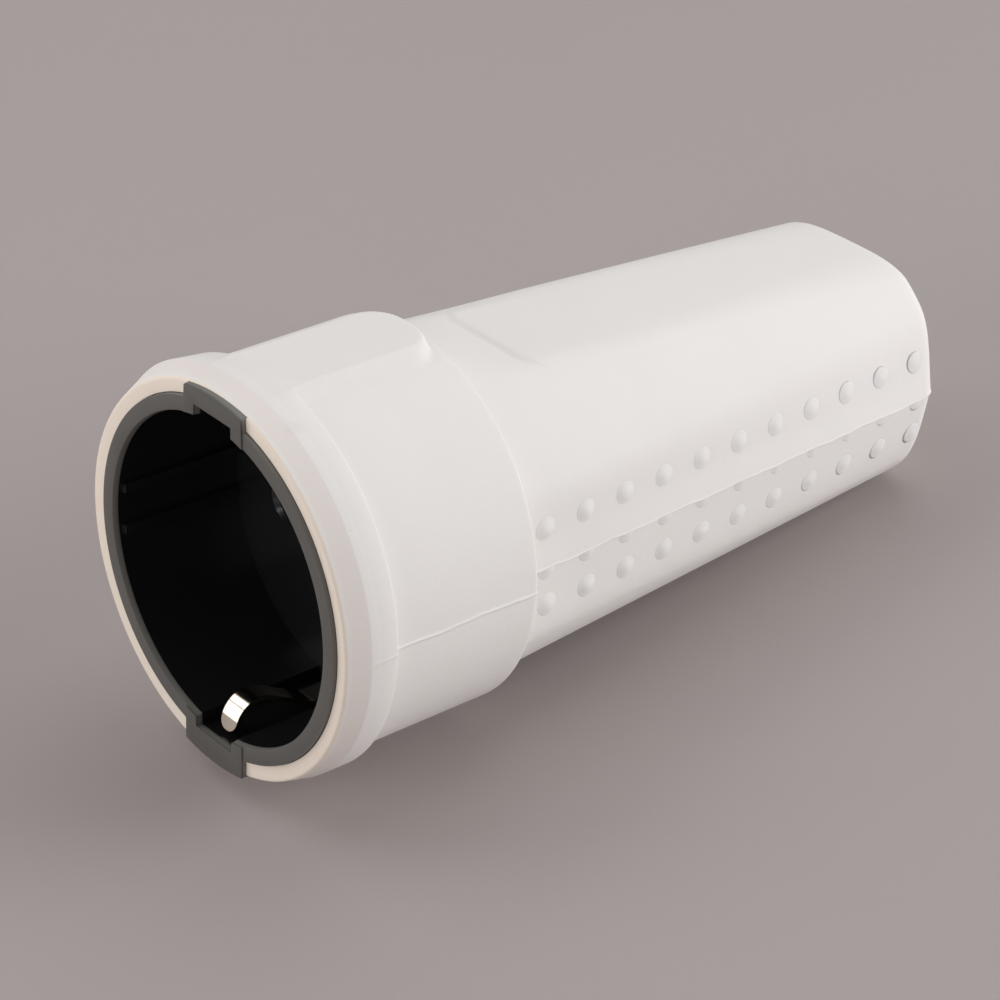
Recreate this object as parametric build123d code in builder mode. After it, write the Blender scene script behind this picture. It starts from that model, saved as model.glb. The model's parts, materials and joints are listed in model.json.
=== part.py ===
from build123d import *
import math
import os

# Two-pole trailing socket with side earth clips. Millimetres. The socket's axis is X:
# the mouth's rim lies in the plane X = 0, the handle runs towards +X, and the upper
# earth clip is towards +Z. The two pin holes lie on the Y axis.

os.makedirs("parts", exist_ok=True)

# Recess that takes the plug
recess_radius = 19.7
recess_depth = 17.5
rim_wall = 2.0
rim_depth = 2.0
rim_chamfer_length = 0.9
rim_chamfer_width = 0.15

# Cup
cup_wall = 1.4
cup_skirt = 4.5
floor_thickness = 3.0
pin_spacing = 19.0
pin_hole_radius = 2.8
pin_hole_flare = 0.5
channel_half_width = 3.4
channel_depth = 1.2
key_half_width = 5.4
key_wall = 1.4
tab_stand_out = 0.27
tab_forward = 0.2
guide_rib_spacing = 5.4
guide_rib_width = 1.1
guide_rib_height = 0.8
guide_rib_start = 1.2
boss_wall = 1.25
boss_height = 1.6

# Sleeve outside
lip_width = 2.03
lip_setback = 0.5
collar_wall = 2.06
collar_over = 2.4
collar_round = 0.7
flange_start = 3.3
flange_end = 6.8
flange_rise = 1.24
saddle_wall = 1.7
saddle_half_width = 5.4
saddle_foot_spread = 1.2
saddle_foot_depth = 2.2
saddle_rear_inset = 0.5
saddle_corner = 2.5
neck_length = 10.6
neck_step = 0.45
neck_crown = 0.15
handle_step = 1.36
handle_taper = 0.0704
flat_cut = 2.2
flat_taper = 0.0678
flat_crown = 0.02
side_cut = 2.15
side_taper = 0.0677
side_crown_front = 0.25
side_crown_rear = 1.1
rear_round = 2.8
rear_round_steps = 5
sleeve_length = 99.5

# Grip bumps, three rows on each side
bump_columns = 11
bump_pitch = 6.34
bump_front_gap = 4.5
bump_row_height = 5.07
bump_row_shift = 0.41
bump_radius = 1.6
bump_rise_front = 0.75
bump_rise_rear = 0.35

# Sleeve inside
fit_gap = 0.1
cavity_play = 0.54
clamp_room_play = 0.2
cavity_run_out = 1.0
clamp_room_run_out = 2.0
funnel_length = 12.0
cable_bore_radius = 5.0
entry_flare = 0.8
seal_lip_rise = 0.7
seal_lip_width = 1.2
seal_lip_pitch = 5.0
seal_lip_run_in = 6.0
seal_lip_run_out = 6.0

# Contact carrier
plate_thickness = 2.6
plate_gap = 0.15
block_side_wall = 1.0
block_roof = 3.8
block_back_wall = 2.1
chamber_play = 0.2
chamber_end_play = 0.4
wire_hole_radius = 1.9
driver_hole_play = 0.3
tongue_over = 1.0

# Line contacts and their springs
contact_start_gap = 0.2
contact_size = 7.0
contact_length = 22.8
contact_block_length = 8.5
contact_tube_radius = 3.2
contact_bore_radius = 2.45
contact_slit = 0.9
pin_bore_depth = 16.1
wire_bore_radius = 1.6
wire_bore_depth = 5.4
spring_thickness = 0.4
spring_width = 3.0
spring_place = 5.0
spring_gap = 0.05
spring_slot = 1.6

# Earth bow, its rivet and its terminal
strip_width = 2.8
strip_thickness = 0.6
strip_play = 0.2
strip_tip_x = 1.9
strip_crest_x = 3.6
strip_crest_drop = 4.9
strip_root_x = 12.9
strip_bend = 0.5
strip_crest_bend = 3.2
strip_root_bend = 2.0
strip_tip_round = 1.3
earth_block_length = 8.9
rivet_radius = 0.9
rivet_head_radius = 1.8
rivet_head_height = 1.0
rivet_depth = 3.0

# Terminal screws
terminal_screw_radius = 1.5
terminal_head_radius = 2.3
terminal_head_height = 1.8
terminal_head_lift = 0.6
terminal_screw_tip = 0.2
terminal_from_end = 2.9
slot_width = 0.7
slot_depth = 0.8
thread_gap = 0.05

# Screws that hold the carrier to the cup
carrier_screw_radius = 1.4
carrier_screw_head_radius = 2.6
carrier_screw_head_height = 2.0
carrier_screw_y = 7.5
carrier_screw_z = 11.0
carrier_screw_bite = 1.8

# Cable clamp
cable_radius = 4.75
clamp_gap = 6.0
clamp_length = 7.0
clamp_screw_y = 9.0
clamp_screw_radius = 1.6
clamp_head_radius = 2.7
clamp_head_height = 2.2
clamp_foot_height = 1.0
clamp_foot_thickness = 2.4
clamp_arch_thickness = 2.2
clamp_tooth = 0.7
clamp_post_half_width = 3.3
clamp_nut_width = 5.0
clamp_nut_height = 2.4

# Places along the axis, worked out from the sizes above
floor_back = recess_depth + floor_thickness
plate_start = floor_back + boss_height
plate_end = plate_start + plate_thickness
cup_length = floor_back + cup_skirt
collar_end = cup_length + collar_over
neck_end = collar_end + neck_length
contact_start = floor_back + contact_start_gap
contact_end = contact_start + contact_length
contact_block_start = contact_end - contact_block_length
line_chamber_end = contact_end + chamber_end_play
block_end = line_chamber_end + block_back_wall
earth_block_start = floor_back + strip_thickness
earth_block_end = earth_block_start + earth_block_length
earth_chamber_end = earth_block_end + chamber_end_play
line_screw_x = contact_end - terminal_from_end
earth_screw_x = earth_block_end - terminal_from_end
carrier_screw_tip = floor_back - carrier_screw_bite
clamp_start = block_end + clamp_gap
clamp_centre = clamp_start + clamp_length / 2
tongue_end = clamp_start + clamp_length + tongue_over
cavity_straight_end = block_end + cavity_run_out
clamp_room_end = tongue_end + clamp_room_run_out
funnel_end = clamp_room_end + funnel_length
seal_lip_start = funnel_end + seal_lip_run_in
seal_lip_room = sleeve_length - entry_flare - seal_lip_run_out - seal_lip_start
seal_lip_count = math.floor(seal_lip_room / seal_lip_pitch) + 1
bump_start = collar_end + bump_front_gap
bridge_x = floor_back + strip_thickness / 2

# Places across the axis
pin_y = pin_spacing / 2
rim_radius = recess_radius + rim_wall
cup_radius = recess_radius + cup_wall
channel_height = recess_radius + channel_depth
key_height = channel_height + key_wall
lip_radius = rim_radius + lip_width
tab_radius = lip_radius + tab_stand_out
collar_radius = cup_radius + collar_wall
flange_radius = collar_radius + flange_rise
saddle_height = key_height + saddle_wall
saddle_foot_height = saddle_height - saddle_foot_depth
handle_front_radius = collar_radius - handle_step
guide_rib_reach = recess_radius - guide_rib_height
guide_rib_span = guide_rib_spacing + 2 * guide_rib_width
boss_radius = carrier_screw_radius + thread_gap + boss_wall
chamber_size = contact_size + 2 * chamber_play
half_block = contact_size / 2
block_half_width = pin_y + chamber_size / 2 + block_side_wall
block_half_height = chamber_size / 2 + block_roof
driver_hole_radius = terminal_head_radius + driver_hole_play
tongue_half_width = clamp_screw_y + clamp_post_half_width
tongue_bottom = -block_half_height
tongue_top = -cable_radius
cavity_radius = math.hypot(block_half_width, block_half_height) + cavity_play
clamp_room_radius = math.hypot(tongue_half_width, block_half_height) + clamp_room_play
strip_root_height = channel_height - strip_thickness / 2 - strip_play
strip_crest_height = strip_root_height - strip_crest_drop
strip_slot_low = strip_root_height - strip_thickness - strip_bend
carrier_screw_places = [(carrier_screw_y, carrier_screw_z), (-carrier_screw_y, -carrier_screw_z)]
clamp_places = [(clamp_centre, clamp_screw_y), (clamp_centre, -clamp_screw_y)]


def handle_radius(x):
    """Radius of the handle's cone."""
    return handle_front_radius - handle_taper * (x - collar_end)


def handle_height(x):
    """Height of the flat on the handle's top and bottom."""
    return handle_front_radius - flat_cut - flat_taper * (x - collar_end)


def handle_side(x):
    """Distance of the side face's edges from the middle plane."""
    return handle_front_radius - side_cut - side_taper * (x - collar_end)


def side_crown(x):
    """How far the side face's ridge stands out beyond its edges."""
    along = (x - collar_end) / (sleeve_length - collar_end)
    return side_crown_front + (side_crown_rear - side_crown_front) * along


def side_at(x, z):
    """Distance of the ridged side face from the middle plane, at a height on it."""
    edge = math.sqrt(handle_radius(x) ** 2 - handle_side(x) ** 2)
    return handle_side(x) + side_crown(x) * (1 - abs(z) / edge)


def on_circle(radius, angle):
    return (radius * math.cos(angle), radius * math.sin(angle))


def handle_outline(x, height, crown, inset=0.0):
    """Section across the handle: a circle cut by four faces, with ridged sides."""
    radius = handle_radius(x) - inset
    side = handle_side(x) - inset
    height = height - inset
    ridge = side + side_crown(x)
    flat_angle = math.asin(height / radius)
    side_angle = math.acos(side / radius)
    edge_y, edge_z = on_circle(radius, flat_angle)
    side_y, side_z = on_circle(radius, side_angle)
    arc_y, arc_z = on_circle(radius, (flat_angle + side_angle) / 2)
    with BuildSketch(Plane.YZ.offset(x)) as outline:
        with BuildLine():
            ThreePointArc((-edge_y, edge_z), (0, height + crown), (edge_y, edge_z))
            ThreePointArc((edge_y, edge_z), (arc_y, arc_z), (side_y, side_z))
            Polyline((side_y, side_z), (ridge, 0), (side_y, -side_z))
            ThreePointArc((side_y, -side_z), (arc_y, -arc_z), (edge_y, -edge_z))
            ThreePointArc((edge_y, -edge_z), (0, -height - crown), (-edge_y, -edge_z))
            ThreePointArc((-edge_y, -edge_z), (-arc_y, -arc_z), (-side_y, -side_z))
            Polyline((-side_y, -side_z), (-ridge, 0), (-side_y, side_z))
            ThreePointArc((-side_y, side_z), (-arc_y, arc_z), (-edge_y, edge_z))
        make_face()
    return outline.sketch


# Neck: from the collar's circle to the handle's flattened section, a step below its flats
collar_inside = collar_end - saddle_rear_inset
neck_start_height = handle_height(collar_end)
neck_start_crown = handle_radius(collar_inside) - neck_start_height
neck_end_height = handle_height(neck_end) - neck_step
with BuildPart() as neck:
    loft(
        sections=[
            handle_outline(collar_inside, neck_start_height, neck_start_crown),
            handle_outline(neck_end, neck_end_height, neck_crown),
        ],
        ruled=True,
    )

# Handle: a tapered cone with four long faces, whose rear edge is rounded by sections drawn in
# along a quarter circle
handle_sections = [handle_outline(neck_end, handle_height(neck_end), flat_crown)]
for step in range(rear_round_steps + 1):
    turn = math.radians(90) * step / rear_round_steps
    x = sleeve_length - rear_round * (1 - math.sin(turn))
    inset = rear_round * (1 - math.cos(turn))
    handle_sections.append(handle_outline(x, handle_height(x), flat_crown, inset))
with BuildPart() as handle:
    loft(sections=handle_sections, ruled=True)

# Saddle: the raised cover over one of the cup's keys
with BuildPart() as saddle:
    with BuildSketch(Plane.YZ.offset(flange_start)):
        with BuildLine():
            Polyline(
                (-saddle_half_width - saddle_foot_spread, saddle_foot_height),
                (-saddle_half_width, saddle_height),
                (saddle_half_width, saddle_height),
                (saddle_half_width + saddle_foot_spread, saddle_foot_height),
                close=True,
            )
        make_face()
    extrude(amount=collar_inside - flange_start)
    fillet(saddle.faces().sort_by(Axis.X)[-1].edges().filter_by(Axis.Y, reverse=True), saddle_corner)

# Sleeve: one soft moulding with lip, flange, collar, saddles, handle and cable entry
with BuildPart() as sleeve:
    with BuildSketch(Plane.XZ):
        with BuildLine():
            Polyline(
                (lip_setback, 0),
                (lip_setback, lip_radius),
                (flange_start, flange_radius),
                (flange_end, flange_radius),
                (flange_end, collar_radius),
                (collar_end - collar_round, collar_radius),
                (collar_end, collar_radius - collar_round),
                (collar_end, 0),
                close=True,
            )
        make_face()
    revolve(axis=Axis.X)
    add(neck.part)
    add(handle.part)
    add(saddle.part)
    add(mirror(saddle.part, about=Plane.XY, mode=Mode.PRIVATE))
    for column in range(bump_columns):
        rise = bump_rise_front + (bump_rise_rear - bump_rise_front) * column / bump_columns
        ball_radius = (bump_radius**2 + rise**2) / (2 * rise)
        for row in (-1, 0, 1):
            x = bump_start + column * bump_pitch - row * bump_row_shift
            z = row * bump_row_height
            y = side_at(x, z) + rise - ball_radius
            with Locations((x, y, z), (x, -y, z)):
                Sphere(ball_radius)
    # Room inside: cup seat, carrier, clamp, funnel, and the cable bore with its sealing lips
    with BuildSketch(Plane.XZ):
        with BuildLine():
            Polyline(
                (0, 0),
                (0, rim_radius + fit_gap),
                (rim_depth, rim_radius + fit_gap),
                (rim_depth, cup_radius + fit_gap),
                (cup_length, cup_radius + fit_gap),
                (cup_length, cavity_radius),
                (cavity_straight_end, cavity_radius),
                (clamp_room_end, clamp_room_radius),
                (funnel_end, cable_bore_radius),
                (sleeve_length - entry_flare, cable_bore_radius),
                (sleeve_length, cable_bore_radius + entry_flare),
                (sleeve_length, 0),
                close=True,
            )
        make_face()
        for lip in range(seal_lip_count):
            lip_x = seal_lip_start + lip * seal_lip_pitch
            with BuildLine():
                Polyline(
                    (lip_x - seal_lip_width / 2, cable_bore_radius),
                    (lip_x, cable_bore_radius - seal_lip_rise),
                    (lip_x + seal_lip_width / 2, cable_bore_radius),
                    close=True,
                )
            make_face(mode=Mode.SUBTRACT)
    revolve(axis=Axis.X, mode=Mode.SUBTRACT)
    with BuildSketch(Plane.YZ):
        Rectangle(2 * (key_half_width + fit_gap), 2 * (key_height + fit_gap))
    extrude(amount=cup_length, mode=Mode.SUBTRACT)
    with BuildSketch(Plane.YZ):
        Rectangle(2 * (key_half_width + fit_gap), 2 * flange_radius)
    extrude(amount=rim_depth + fit_gap, mode=Mode.SUBTRACT)
sleeve.part.label = "sleeve"
export_step(sleeve.part, "parts/sleeve.step")

# Cup: the insert with the plug's recess, its floor, and the keys and tabs that turn with it
with BuildPart() as socket_cup:
    with BuildSketch(Plane.XZ):
        with BuildLine():
            Polyline(
                (0, 0),
                (0, rim_radius),
                (rim_depth, rim_radius),
                (rim_depth, cup_radius),
                (cup_length, cup_radius),
                (cup_length, 0),
                close=True,
            )
        make_face()
    revolve(axis=Axis.X)
    with BuildSketch(Plane.YZ.offset(-tab_forward)):
        Circle(tab_radius)
        Rectangle(2 * key_half_width, 2 * tab_radius, mode=Mode.INTERSECT)
    extrude(amount=rim_depth + tab_forward)
    with BuildSketch(Plane.YZ.offset(rim_depth)):
        Rectangle(2 * key_half_width, 2 * key_height)
    extrude(amount=cup_length - rim_depth)
    # The recess in front of the floor and the room behind it
    with BuildSketch(Plane.XZ):
        with BuildLine():
            Polyline(
                (-tab_forward, 0),
                (-tab_forward, recess_radius + rim_chamfer_width),
                (0, recess_radius + rim_chamfer_width),
                (rim_chamfer_length, recess_radius),
                (recess_depth, recess_radius),
                (recess_depth, 0),
                close=True,
            )
        make_face()
    revolve(axis=Axis.X, mode=Mode.SUBTRACT)
    with BuildSketch(Plane.YZ.offset(floor_back)):
        Circle(recess_radius)
    extrude(amount=cup_skirt, mode=Mode.SUBTRACT)
    # Channels for the earth clips, and the slots that let the strip through the floor
    with BuildSketch(Plane.YZ.offset(-tab_forward)):
        Rectangle(2 * channel_half_width, 2 * channel_height)
    extrude(amount=recess_depth + tab_forward, mode=Mode.SUBTRACT)
    with BuildSketch(Plane.YZ.offset(recess_depth)):
        Rectangle(strip_width + 2 * strip_play, 2 * channel_height)
        Rectangle(strip_width + 2 * strip_play, 2 * strip_slot_low, mode=Mode.SUBTRACT)
    extrude(amount=cup_length - recess_depth, mode=Mode.SUBTRACT)
    # Guide ribs in pairs on both side walls
    with BuildSketch(Plane.YZ.offset(guide_rib_start)):
        with GridLocations(0, guide_rib_spacing, 1, 2):
            Rectangle(2 * cup_radius, guide_rib_width)
        Rectangle(2 * guide_rib_reach, guide_rib_span, mode=Mode.SUBTRACT)
        Circle(recess_radius + rim_chamfer_width, mode=Mode.INTERSECT)
    extrude(amount=recess_depth - guide_rib_start)
    # Bosses and blind holes for the two carrier screws
    with BuildSketch(Plane.YZ.offset(floor_back)):
        with Locations(*carrier_screw_places):
            Circle(boss_radius)
    extrude(amount=boss_height)
    with BuildSketch(Plane.YZ.offset(plate_start)):
        with Locations(*carrier_screw_places):
            Circle(carrier_screw_radius + thread_gap)
    extrude(amount=carrier_screw_tip - thread_gap - plate_start, mode=Mode.SUBTRACT)
    # Pin holes, and the pocket for the rivet's head
    with BuildSketch(Plane.YZ.offset(recess_depth)):
        with GridLocations(pin_spacing, 0, 2, 1):
            Circle(pin_hole_radius)
    extrude(amount=floor_thickness, mode=Mode.SUBTRACT)
    recess_floor = socket_cup.faces().filter_by_position(Axis.X, recess_depth, recess_depth)
    pin_rims = recess_floor.edges().filter_by(GeomType.CIRCLE).group_by(SortBy.RADIUS)[0]
    chamfer(pin_rims, pin_hole_flare)
    with BuildSketch(Plane.YZ.offset(floor_back)):
        Circle(rivet_head_radius + fit_gap)
    extrude(amount=-rivet_head_height - fit_gap, mode=Mode.SUBTRACT)
socket_cup.part.label = "socket_cup"
export_step(socket_cup.part, "parts/socket_cup.step")

# Contact carrier: round plate, block with three chambers, and the cable clamp's tongue
with BuildPart() as contact_carrier:
    with BuildSketch(Plane.YZ.offset(plate_start)):
        Circle(recess_radius - plate_gap)
    extrude(amount=plate_thickness)
    with BuildSketch(Plane.YZ.offset(plate_end)):
        Rectangle(2 * block_half_width, 2 * block_half_height)
    extrude(amount=block_end - plate_end)
    with BuildSketch(Plane.XY.offset(tongue_bottom)):
        with Locations(((block_end + tongue_end) / 2, 0)):
            Rectangle(tongue_end - block_end, 2 * tongue_half_width)
    extrude(amount=tongue_top - tongue_bottom)
    with BuildSketch(Plane.XY.offset(tongue_bottom)):
        with Locations(*clamp_places):
            Rectangle(clamp_length, 2 * clamp_post_half_width)
    extrude(amount=clamp_foot_height - tongue_bottom)
    for y, chamber_end in ((-pin_y, line_chamber_end), (0, earth_chamber_end), (pin_y, line_chamber_end)):
        with BuildSketch(Plane.YZ.offset(plate_start)):
            with Locations((y, 0)):
                Rectangle(chamber_size, chamber_size)
        extrude(amount=chamber_end - plate_start, mode=Mode.SUBTRACT)
        with BuildSketch(Plane.YZ.offset(chamber_end)):
            with Locations((y, 0)):
                Circle(wire_hole_radius)
        extrude(amount=block_end - chamber_end, mode=Mode.SUBTRACT)
    with BuildSketch(Plane.XY):
        with Locations((line_screw_x, -pin_y), (earth_screw_x, 0), (line_screw_x, pin_y)):
            Circle(driver_hole_radius)
    extrude(amount=block_half_height, mode=Mode.SUBTRACT)
    with BuildSketch(Plane.YZ.offset(plate_start)):
        with Locations(*carrier_screw_places):
            Circle(carrier_screw_radius + thread_gap)
    extrude(amount=plate_thickness, mode=Mode.SUBTRACT)
    # Clamp screw holes with pockets for the square nuts underneath
    with BuildSketch(Plane.XY.offset(tongue_bottom)):
        with Locations(*clamp_places):
            Circle(clamp_screw_radius + thread_gap)
    extrude(amount=clamp_foot_height - tongue_bottom, mode=Mode.SUBTRACT)
    with BuildSketch(Plane.XY.offset(tongue_bottom)):
        with Locations(*clamp_places):
            Rectangle(clamp_nut_width + 2 * fit_gap, clamp_nut_width + 2 * fit_gap)
    extrude(amount=clamp_nut_height + fit_gap, mode=Mode.SUBTRACT)
contact_carrier.part.label = "contact_carrier"
export_step(contact_carrier.part, "parts/contact_carrier.step")

# Line contacts: a slit tube that grips a round pin, with a terminal block behind it,
# and the steel clip ring that presses the tube's halves together
for side, y in (("left", pin_y), ("right", -pin_y)):
    with BuildPart() as line_contact:
        with BuildSketch(Plane.YZ.offset(contact_start)):
            with Locations((y, 0)):
                Circle(contact_tube_radius)
        extrude(amount=contact_block_start - contact_start)
        with BuildSketch(Plane.YZ.offset(contact_block_start)):
            with Locations((y, 0)):
                Rectangle(contact_size, contact_size)
        extrude(amount=contact_block_length)
        with BuildSketch(Plane.YZ.offset(contact_start)):
            with Locations((y, 0)):
                Circle(contact_bore_radius)
        extrude(amount=pin_bore_depth, mode=Mode.SUBTRACT)
        with BuildSketch(Plane.YZ.offset(contact_end)):
            with Locations((y, 0)):
                Circle(wire_bore_radius)
        extrude(amount=-wire_bore_depth, mode=Mode.SUBTRACT)
        with BuildSketch(Plane.XY):
            with Locations((line_screw_x, y)):
                Circle(terminal_screw_radius + thread_gap)
        extrude(amount=half_block, mode=Mode.SUBTRACT)
        with BuildSketch(Plane.XY):
            with Locations(((contact_start + contact_block_start) / 2, y)):
                Rectangle(contact_block_start - contact_start, contact_slit)
        extrude(amount=contact_tube_radius, mode=Mode.SUBTRACT)
    line_contact.part.label = f"line_contact_{side}"
    export_step(line_contact.part, f"parts/line_contact_{side}.step")

    spring_radius = contact_tube_radius + spring_gap
    with BuildPart() as contact_spring:
        with BuildSketch(Plane.YZ.offset(contact_start + spring_place)):
            with Locations((y, 0)):
                Circle(spring_radius + spring_thickness)
                Circle(spring_radius, mode=Mode.SUBTRACT)
            with Locations((y, spring_radius)):
                Rectangle(spring_slot, 4 * spring_thickness, mode=Mode.SUBTRACT)
        extrude(amount=spring_width)
    contact_spring.part.label = f"contact_spring_{side}"
    export_step(contact_spring.part, f"parts/contact_spring_{side}.step")

# Earth bow: one bent strip behind the cup's floor that ends in the two side clips
upper_route = [
    (strip_tip_x, strip_root_height),
    (strip_crest_x, strip_crest_height),
    (strip_root_x, strip_root_height),
    (bridge_x, strip_root_height),
]
lower_route = [(x, -z) for x, z in reversed(upper_route)]
strip_radii = [strip_crest_bend, strip_root_bend, strip_bend, strip_bend, strip_root_bend, strip_crest_bend]
with BuildPart() as earth_bow:
    with BuildLine(Plane.XZ) as strip_route:
        FilletPolyline(*upper_route, *lower_route, radius=strip_radii)
    with BuildSketch(Plane(strip_route.line @ 0, x_dir=(0, 1, 0), z_dir=strip_route.line % 0)):
        Rectangle(strip_width, strip_thickness)
    sweep(path=strip_route.line)
    tip_edges = earth_bow.edges().filter_by(
        lambda edge: edge.length < 2 * strip_thickness and edge.center().X < strip_crest_x
    )
    fillet(tip_edges, strip_tip_round)
    with BuildSketch(Plane.YZ.offset(floor_back)):
        Circle(rivet_radius + thread_gap)
    extrude(amount=strip_thickness, mode=Mode.SUBTRACT)
earth_bow.part.label = "earth_bow"
export_step(earth_bow.part, "parts/earth_bow.step")

# Earth terminal: the block that the rivet holds to the bow
with BuildPart() as earth_terminal:
    with BuildSketch(Plane.YZ.offset(earth_block_start)):
        Rectangle(contact_size, contact_size)
    extrude(amount=earth_block_length)
    with BuildSketch(Plane.YZ.offset(earth_block_end)):
        Circle(wire_bore_radius)
    extrude(amount=-wire_bore_depth, mode=Mode.SUBTRACT)
    with BuildSketch(Plane.XY):
        with Locations((earth_screw_x, 0)):
            Circle(terminal_screw_radius + thread_gap)
    extrude(amount=half_block, mode=Mode.SUBTRACT)
    with BuildSketch(Plane.YZ.offset(earth_block_start)):
        Circle(rivet_radius + thread_gap)
    extrude(amount=rivet_depth, mode=Mode.SUBTRACT)
earth_terminal.part.label = "earth_terminal"
export_step(earth_terminal.part, "parts/earth_terminal.step")

with BuildPart() as earth_rivet:
    with BuildSketch(Plane.YZ.offset(floor_back)):
        Circle(rivet_radius)
    extrude(amount=strip_thickness + rivet_depth)
    with BuildSketch(Plane.YZ.offset(floor_back)):
        Circle(rivet_head_radius)
    extrude(amount=-rivet_head_height)
earth_rivet.part.label = "earth_rivet"
export_step(earth_rivet.part, "parts/earth_rivet.step")

# Terminal screws: slotted cheese heads, driven from above
terminal_places = {
    "left": (line_screw_x, pin_y),
    "right": (line_screw_x, -pin_y),
    "earth": (earth_screw_x, 0),
}
terminal_head_base = half_block + terminal_head_lift
for name, place in terminal_places.items():
    with BuildPart() as terminal_screw:
        with BuildSketch(Plane.XY.offset(terminal_screw_tip)):
            with Locations(place):
                Circle(terminal_screw_radius)
        extrude(amount=terminal_head_base - terminal_screw_tip)
        with BuildSketch(Plane.XY.offset(terminal_head_base)):
            with Locations(place):
                Circle(terminal_head_radius)
        extrude(amount=terminal_head_height)
        with BuildSketch(Plane.XY.offset(terminal_head_base + terminal_head_height)):
            with Locations(place):
                Rectangle(2 * terminal_head_radius, slot_width)
        extrude(amount=-slot_depth, mode=Mode.SUBTRACT)
    terminal_screw.part.label = f"terminal_screw_{name}"
    export_step(terminal_screw.part, f"parts/terminal_screw_{name}.step")

# Carrier screws: driven from the rear, through the plate into the cup's bosses
for name, place in zip(("upper", "lower"), carrier_screw_places):
    with BuildPart() as carrier_screw:
        with BuildSketch(Plane.YZ.offset(carrier_screw_tip)):
            with Locations(place):
                Circle(carrier_screw_radius)
        extrude(amount=plate_end - carrier_screw_tip)
        with BuildSketch(Plane.YZ.offset(plate_end)):
            with Locations(place):
                Circle(carrier_screw_head_radius)
        extrude(amount=carrier_screw_head_height)
        with BuildSketch(Plane.YZ.offset(plate_end + carrier_screw_head_height)):
            with Locations(place):
                Rectangle(2 * carrier_screw_head_radius, slot_width)
        extrude(amount=-slot_depth, mode=Mode.SUBTRACT)
    carrier_screw.part.label = f"carrier_screw_{name}"
    export_step(carrier_screw.part, f"parts/carrier_screw_{name}.step")

# Cable clamp: an arched bar over the cable with a foot on each of the tongue's posts
arch_radius = cable_radius + clamp_arch_thickness
with BuildPart() as cable_clamp:
    with BuildSketch(Plane.YZ.offset(clamp_start)):
        Circle(arch_radius)
        with Locations((0, clamp_foot_height)):
            Rectangle(2 * arch_radius, 2 * arch_radius, align=(Align.CENTER, Align.MAX), mode=Mode.SUBTRACT)
            Rectangle(2 * tongue_half_width, clamp_foot_thickness, align=(Align.CENTER, Align.MIN))
        Circle(cable_radius, mode=Mode.SUBTRACT)
    extrude(amount=clamp_length)
    with BuildSketch(Plane.YZ.offset(clamp_centre - clamp_tooth)):
        with Locations((0, cable_radius)):
            Rectangle(cable_radius, 2 * clamp_tooth)
    extrude(amount=2 * clamp_tooth)
    with BuildSketch(Plane.XY.offset(clamp_foot_height)):
        with Locations(*clamp_places):
            Circle(clamp_screw_radius + thread_gap)
    extrude(amount=clamp_foot_thickness, mode=Mode.SUBTRACT)
cable_clamp.part.label = "cable_clamp"
export_step(cable_clamp.part, "parts/cable_clamp.step")

# Clamp screws and the square nuts in their pockets under the tongue
clamp_head_base = clamp_foot_height + clamp_foot_thickness
for side, place in zip(("left", "right"), clamp_places):
    with BuildPart() as clamp_screw:
        with BuildSketch(Plane.XY.offset(tongue_bottom)):
            with Locations(place):
                Circle(clamp_screw_radius)
        extrude(amount=clamp_head_base - tongue_bottom)
        with BuildSketch(Plane.XY.offset(clamp_head_base)):
            with Locations(place):
                Circle(clamp_head_radius)
        extrude(amount=clamp_head_height)
        with BuildSketch(Plane.XY.offset(clamp_head_base + clamp_head_height)):
            with Locations(place):
                Rectangle(2 * clamp_head_radius, slot_width)
        extrude(amount=-slot_depth, mode=Mode.SUBTRACT)
    clamp_screw.part.label = f"clamp_screw_{side}"
    export_step(clamp_screw.part, f"parts/clamp_screw_{side}.step")

    with BuildPart() as clamp_nut:
        with BuildSketch(Plane.XY.offset(tongue_bottom)):
            with Locations(place):
                Rectangle(clamp_nut_width, clamp_nut_width)
                Circle(clamp_screw_radius + thread_gap, mode=Mode.SUBTRACT)
        extrude(amount=clamp_nut_height)
    clamp_nut.part.label = f"clamp_nut_{side}"
    export_step(clamp_nut.part, f"parts/clamp_nut_{side}.step")
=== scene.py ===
"""Looks of a two-pole trailing socket: soft sleeve, black insert, earth clips and inner metalwork."""

import json
import math

import bmesh
import bpy
import numpy as np
from mathutils import Matrix, Vector


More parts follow.
